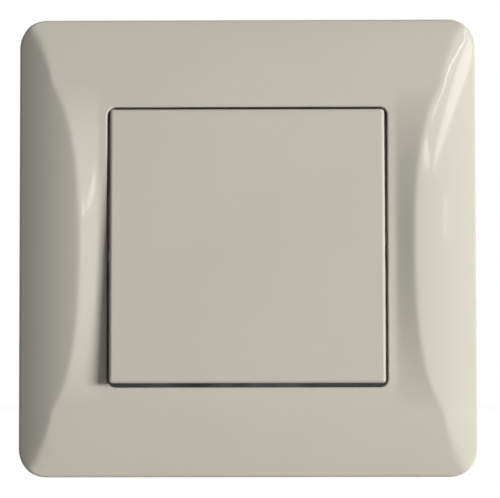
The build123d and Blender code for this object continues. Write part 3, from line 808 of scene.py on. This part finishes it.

# %% [markdown]
# ## The plunger's spring
#
# The solid of the spring is wound from square wire, which keeps its mesh small. The real one is round wire, so a
# small circle is swept like the threads, its two ends are closed and it is tilted into the rocker's tube.

# %% A spring of round wire
wire_radius = 0.25
wire_sides = 12
spring_radius = 2.1
spring_pitch = 1.05
spring_turns = 4
spring_steps = 48
tube_tilt = 87
spring_foot = (0, -0.48, -0.29)
bpy.ops.object.select_all(action="DESELECT")
bpy.ops.mesh.primitive_circle_add(
    vertices=wire_sides,
    radius=wire_radius * mm,
    location=(spring_radius * mm, 0, 0),
    rotation=(math.radians(90), 0, 0),
)
wound_wire = bpy.context.object
wound_wire.name = "wound_wire"
bpy.ops.object.transform_apply(location=True, rotation=True, scale=True)
swept(wound_wire, spring_pitch, spring_turns, spring_steps, wire_sides)
moved(wound_wire, tube_tilt, spring_foot)
shade_smooth(wound_wire, crease)
box_low, box_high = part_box("plunger_spring")
wire_box = [extreme(v.co[i] for v in wound_wire.data.vertices) for extreme in (min, max) for i in range(3)]
print("solid's box", [round(x / mm, 2) for x in (*box_low, *box_high)])
print("wire's box ", [round(x / mm, 2) for x in wire_box])
stands_for(wound_wire, "plunger_spring")
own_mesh(wound_wire)

# %% [markdown]
# ## The floor
#
# The switch is shown on a plain pale floor before white. A floor lit only by the lamps would come out grey, and more
# light would bleach the switch. So rays from the camera, a mirror or glass see mostly a white card, and the rest of
# what they see is the painted floor, which keeps the shadow. The card's share times its strength is just under white,
# and the paint adds what is missing. All other rays meet the painted floor alone.

# %% A pale floor
floor_size = 6
floor_gap = 0.2
floor_roughness = 0.9
tint_scale = 4
card_share = 0.85
card_strength = 1.13


def seen_rays(tree):
    """One for rays from the camera, a mirror or glass, and nought for all others."""
    rays = tree.nodes.new("ShaderNodeLightPath").outputs
    seen = rays["Is Camera Ray"]
    for label in ("Is Glossy Ray", "Is Transmission Ray"):
        either = tree.nodes.new("ShaderNodeMath")
        either.operation = "MAXIMUM"
        tree.links.new(seen, either.inputs[0])
        tree.links.new(rays[label], either.inputs[1])
        seen = either.outputs[0]
    return seen


bpy.ops.object.select_all(action="DESELECT")
bpy.ops.mesh.primitive_plane_add(size=floor_size, location=(0, 0, cad_low.z - floor_gap * mm))
floor = bpy.context.object
floor.name = "floor"
floor_paint = bpy.data.materials.new("floor_paint")
floor_paint.use_nodes = True
floor_tree = floor_paint.node_tree
paint = floor_tree.nodes["Principled BSDF"]
paint.inputs["Roughness"].default_value = floor_roughness
floor_place = floor_tree.nodes.new("ShaderNodeTexCoord")
floor_tint = floor_tree.nodes.new("ShaderNodeTexNoise")
floor_tint.inputs["Scale"].default_value = tint_scale
floor_shade = floor_tree.nodes.new("ShaderNodeValToRGB")
floor_shade.color_ramp.elements[0].color = (0.74, 0.74, 0.74, 1)
floor_shade.color_ramp.elements[1].color = (0.78, 0.78, 0.78, 1)
floor_tree.links.new(floor_place.outputs["Object"], floor_tint.inputs["Vector"])
floor_tree.links.new(floor_tint.outputs["Fac"], floor_shade.inputs["Fac"])
floor_tree.links.new(floor_shade.outputs["Color"], paint.inputs["Base Color"])
white_card = floor_tree.nodes.new("ShaderNodeEmission")
white_card.inputs["Strength"].default_value = card_strength
share = floor_tree.nodes.new("ShaderNodeMath")
share.operation = "MULTIPLY"
share.inputs[1].default_value = card_share
floor_tree.links.new(seen_rays(floor_tree), share.inputs[0])
floor_mix = floor_tree.nodes.new("ShaderNodeMixShader")
floor_tree.links.new(share.outputs[0], floor_mix.inputs["Fac"])
floor_tree.links.new(paint.outputs[0], floor_mix.inputs[1])
floor_tree.links.new(white_card.outputs[0], floor_mix.inputs[2])
floor_tree.links.new(floor_mix.outputs[0], floor_tree.nodes["Material Output"].inputs["Surface"])
floor.data.materials.append(floor_paint)
print("floor at", round(floor.location.z / mm, 2), "mm")

# %% [markdown]
# ## White all round
#
# The world is white for the same rays as the floor's card. As a light it is dim, and a little brighter behind the
# switch than in front, so the lamps shape the front and the back doesn't sink into black.

# %% White behind the switch, dim light from all round
white_strength = 1.0
dim_limits = {"From Min": -0.3, "From Max": 0.5, "To Min": 0.03, "To Max": 0.14}
world = bpy.data.worlds.new("studio")
bpy.context.scene.world = world
world.use_nodes = True
sky = world.node_tree
sky_light = sky.nodes["Background"]
sky_light.inputs["Color"].default_value = (1, 1, 1, 1)
sky_place = sky.nodes.new("ShaderNodeTexCoord")
sky_axes = sky.nodes.new("ShaderNodeSeparateXYZ")
sky.links.new(sky_place.outputs["Generated"], sky_axes.inputs[0])
dim_light = sky.nodes.new("ShaderNodeMapRange")
for label, value in dim_limits.items():
    dim_light.inputs[label].default_value = value
sky.links.new(sky_axes.outputs["Y"], dim_light.inputs["Value"])
sky_strength = sky.nodes.new("ShaderNodeMix")
sky_strength.data_type = "FLOAT"
sky_strength.inputs["B"].default_value = white_strength
sky.links.new(seen_rays(sky), sky_strength.inputs["Factor"])
sky.links.new(dim_light.outputs["Result"], sky_strength.inputs["A"])
sky.links.new(sky_strength.outputs["Result"], sky_light.inputs["Strength"])
print("world:", world.name, "brighter behind the switch")

# %% [markdown]
# ## Lamps
#
# One soft lamp from the right does most of the work, as in the photograph: it leaves the left wing dark and the
# right one bright. Two weaker ones light the back. The streaks along the crests are mirror images, and a broad lamp
# would give a broad patch. So slim oval lamps make them, each placed where the gloss mirrors it towards the camera,
# and the broad lamps are kept out of the gloss.

# %% Soft lamps and slim ones
lamp_distance = 1.5


def area_light(name, shape, size, power, mirrored_too):
    """An area lamp at the origin. Not every lamp shows in the gloss."""
    data = bpy.data.lights.new(name, "AREA")
    data.shape = shape
    data.size, data.size_y = size
    data.energy = power
    light = bpy.data.objects.new(name, data)
    light.visible_glossy = mirrored_too
    light.rotation_mode = "QUATERNION"
    bpy.context.scene.collection.objects.link(light)
    return light


def lamp(name, azimuth, elevation, size, power):
    """A soft lamp that looks at the switch; the azimuth is counted from the front to the right, in degrees."""
    a, e = math.radians(azimuth), math.radians(elevation)
    toward = Vector((math.sin(a) * math.cos(e), -math.cos(a) * math.cos(e), math.sin(e)))
    light = area_light(name, "RECTANGLE", size, power, False)
    light.location = toward * lamp_distance
    light.rotation_quaternion = toward.to_track_quat("Z", "Y")


def bright_strip(name, start, end, width, power):
    """A slim oval lamp between two places in mm, seen in the gloss as a streak."""
    run = (Vector(end) - Vector(start)) * mm
    middle = (Vector(end) + Vector(start)) * mm / 2
    along = run.normalized()
    toward = (middle - along * middle.dot(along)).normalized()
    light = area_light(name, "ELLIPSE", (run.length, width * mm), power, True)
    light.location = middle
    light.rotation_quaternion = Matrix((along, toward.cross(along), toward)).transposed().to_quaternion()


lamp("key", 52, 4, (0.7, 0.4), 35)
lamp("back_left", -135, 5, (0.5, 0.3), 10)
lamp("back_right", 135, 5, (0.5, 0.3), 10)
bright_strip("wide_streak", (868, -1248, 147), (1712, -352, 301), 26, 0.36)
bright_strip("thin_streak", (840, -1266, 186), (1532, -638, 290), 10, 0.2)
bright_strip("left_streak", (630, -1347, 168), (800, -1255, 150), 26, 0.05)
bright_strip("faint_streak", (1011, -1146, 108), (1089, -1070, 112), 31, 0.02)

# %% [markdown]
# ## Camera
#
# The photograph looks at the switch almost straight on. The camera stands a little right of the middle and a little
# below it, and it is turned by three small angles. These and the focal length were fitted to the outline of the frame
# and the gap round the rocker.

# %% Camera
image_width = 500
focal_pixels = 2526.1
camera_distance = 450 * mm
yaw, pitch, roll = (math.radians(a) for a in (-0.65, 3.25, -0.09))
target = Vector((0.48, -9.0, -0.41)) * mm
forward = Vector((math.sin(yaw) * math.cos(pitch), math.cos(yaw) * math.cos(pitch), math.sin(pitch)))
right = forward.cross(Vector((0, 0, 1))).normalized()
up = right.cross(forward)
tilted_right = math.cos(roll) * right + math.sin(roll) * up
tilted_up = math.cos(roll) * up - math.sin(roll) * right
camera_data = bpy.data.cameras.new("camera")
camera_data.sensor_width = 36
camera_data.lens = camera_data.sensor_width * focal_pixels / image_width
camera_data.clip_start = 0.01
camera = bpy.data.objects.new("camera", camera_data)
bpy.context.scene.collection.objects.link(camera)
turn = Matrix((tilted_right, tilted_up, -forward)).transposed()
camera.matrix_world = Matrix.Translation(target - forward * camera_distance) @ turn.to_4x4()
bpy.context.scene.camera = camera
bpy.context.scene.view_settings.view_transform = "Standard"
print("camera", [round(x / mm, 1) for x in camera.location], "lens", round(camera_data.lens, 1))
